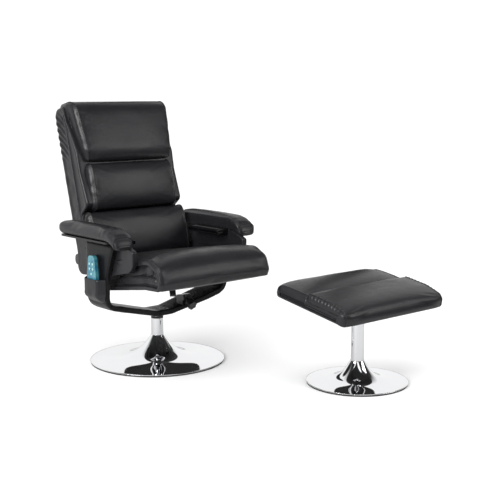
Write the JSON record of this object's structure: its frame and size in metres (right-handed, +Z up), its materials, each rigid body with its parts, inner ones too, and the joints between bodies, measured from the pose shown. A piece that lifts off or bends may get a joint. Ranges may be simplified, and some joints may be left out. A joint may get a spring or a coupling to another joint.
{
  "type": "massage chair",
  "caption": "Reclining swivel chair with padded arms, stacked back cushions, vibration motors and a handset in a side pocket, and a matching tilted footstool; both stand on trumpet discs.",
  "frame": {"origin": "on the floor, at the middle of the chair's pedestal", "axes": "+Z up; the chair faces -Y; +X is the sitter's left; the footstool stands at +X, -Y"},
  "size_m": [1.0143, 1.3473, 1.0794],
  "materials": {
    "chrome": "mirror chrome plate",
    "rubber": "matt black",
    "ballast": "black dipped",
    "tube": "polished",
    "bush": "black nylon",
    "spindle": "ground bright steel",
    "steel": "gloss black enamel",
    "zinc": "zinc plated",
    "leather": "semi-matt black synthetic leather",
    "foam": "black synthetic leather over foam",
    "board": "raw plywood",
    "casing": "black moulding",
    "brass": "turned",
    "handset_face": "glossy teal blue",
    "handset_rear": "matt black",
    "circuit": "green laminate",
    "button": "pale translucent rubber",
    "knob": "gloss black"
  },
  "bodies": {
    "base": {"chair_disc": "chrome", "chair_floor_ring": "rubber", "chair_ballast": "ballast", "chair_post": "tube", "chair_bush": "bush", "stool_disc": "chrome", "stool_floor_ring": "rubber", "stool_ballast": "ballast", "stool_post": "tube", "stool_bush": "bush"},
    "swivel": {"chair_spindle": "spindle", "cradle_bar": "steel", "cradle_cover": "foam", "frame_bolts": "zinc", "arm_panel_left": "foam", "arm_panel_right": "foam", "arm_board_left": "board", "arm_board_right": "board", "arm_pad_left": "foam", "arm_pad_right": "foam", "remote_pocket": "leather", "guide_pins": "zinc", "hinge_bracket_left": "steel", "hinge_bracket_right": "steel", "lock_bracket": "steel"},
    "knob": {"lock_knob": "knob"},
    "seat": {"seat_board": "board", "seat_cushion": "foam", "seat_guide_left": "steel", "seat_guide_right": "steel", "lock_tongue": "steel", "seat_motor_casings": "casing", "control_box": "casing", "power_inlet": "bush"},
    "seat_rotor_left": {"seat_rotor_left": "brass"},
    "seat_rotor_right": {"seat_rotor_right": "brass"},
    "back": {"back_board": "board", "back_shell": "foam", "back_hinge_plates": "steel", "back_motor_casings": "casing", "head_cushion": "foam", "middle_cushion": "foam", "lumbar_cushion": "foam"},
    "back_rotor_low_left": {"back_rotor_low_left": "brass"},
    "back_rotor_low_right": {"back_rotor_low_right": "brass"},
    "back_rotor_high_left": {"back_rotor_high_left": "brass"},
    "back_rotor_high_right": {"back_rotor_high_right": "brass"},
    "handset": {"handset_front": "handset_face", "handset_back": "handset_rear", "handset_circuit": "circuit"},
    "stool_top": {"stool_spindle": "spindle", "stool_board": "board", "stool_cushion": "foam", "stool_front_pad": "foam"},
    "power_button": {"power_button": "button"},
    "strength_button": {"strength_button": "button"},
    "speed_button": {"speed_button": "button"},
    "zone_button": {"zone_button": "button"},
    "timer_button": {"timer_button": "button"}
  },
  "joints": [
    {"name": "chair_swivel", "type": "hinge", "parent": "base", "child": "swivel", "pos_m": [0, 0, 0.18], "axis": [0, 0, 1], "continuous": true},
    {"name": "stool_swivel", "type": "hinge", "parent": "base", "child": "stool_top", "pos_m": [0.384, -0.782, 0.27], "axis": [0, 0, 1], "continuous": true},
    {"name": "back_recline", "type": "hinge", "parent": "swivel", "child": "back", "pos_m": [0, 0.185, 0.43], "axis": [-1, 0, 0], "range_deg": [0, 28]},
    {"name": "seat_glide", "type": "slide", "parent": "swivel", "child": "seat", "axis": [0, -0.9882, 0.153], "range_m": [0, 0.045]},
    {"name": "lock_turn", "type": "hinge", "parent": "swivel", "child": "knob", "pos_m": [0.1, -0.05507, 0.2644], "axis": [0, -0.8829, -0.4695], "range_deg": [0, 180]},
    {"name": "handset_lift", "type": "slide", "parent": "swivel", "child": "handset", "axis": [0, 0, 1], "range_m": [0, 0.055]},
    {"name": "seat_rotor_left_spin", "type": "hinge", "parent": "seat", "child": "seat_rotor_left", "pos_m": [0.11, -0.14594, 0.36377], "axis": [0, 0.153, 0.9882], "continuous": true},
    {"name": "seat_rotor_right_spin", "type": "hinge", "parent": "seat", "child": "seat_rotor_right", "pos_m": [-0.11, -0.14594, 0.36377], "axis": [0, 0.153, 0.9882], "continuous": true},
    {"name": "back_rotor_low_left_spin", "type": "hinge", "parent": "back", "child": "back_rotor_low_left", "pos_m": [0.105, 0.20195, 0.53898], "axis": [0, 0.9744, -0.225], "continuous": true},
    {"name": "back_rotor_low_right_spin", "type": "hinge", "parent": "back", "child": "back_rotor_low_right", "pos_m": [-0.105, 0.20195, 0.53898], "axis": [0, 0.9744, -0.225], "continuous": true},
    {"name": "back_rotor_high_left_spin", "type": "hinge", "parent": "back", "child": "back_rotor_high_left", "pos_m": [0.105, 0.25144, 0.75334], "axis": [0, 0.9744, -0.225], "continuous": true},
    {"name": "back_rotor_high_right_spin", "type": "hinge", "parent": "back", "child": "back_rotor_high_right", "pos_m": [-0.105, 0.25144, 0.75334], "axis": [0, 0.9744, -0.225], "continuous": true},
    {"name": "power_button_press", "type": "slide", "parent": "handset", "child": "power_button", "axis": [1, 0, 0], "range_m": [0, 0.001], "stiffness_N_per_m": 400},
    {"name": "strength_button_press", "type": "slide", "parent": "handset", "child": "strength_button", "axis": [1, 0, 0], "range_m": [0, 0.001], "stiffness_N_per_m": 400},
    {"name": "speed_button_press", "type": "slide", "parent": "handset", "child": "speed_button", "axis": [1, 0, 0], "range_m": [0, 0.001], "stiffness_N_per_m": 400},
    {"name": "zone_button_press", "type": "slide", "parent": "handset", "child": "zone_button", "axis": [1, 0, 0], "range_m": [0, 0.001], "stiffness_N_per_m": 400},
    {"name": "timer_button_press", "type": "slide", "parent": "handset", "child": "timer_button", "axis": [1, 0, 0], "range_m": [0, 0.001], "stiffness_N_per_m": 400}
  ],
  "couplings": [
    {"joint": "seat_glide", "follows": "back_recline", "m_per_rad": 0.09204}
  ]
}
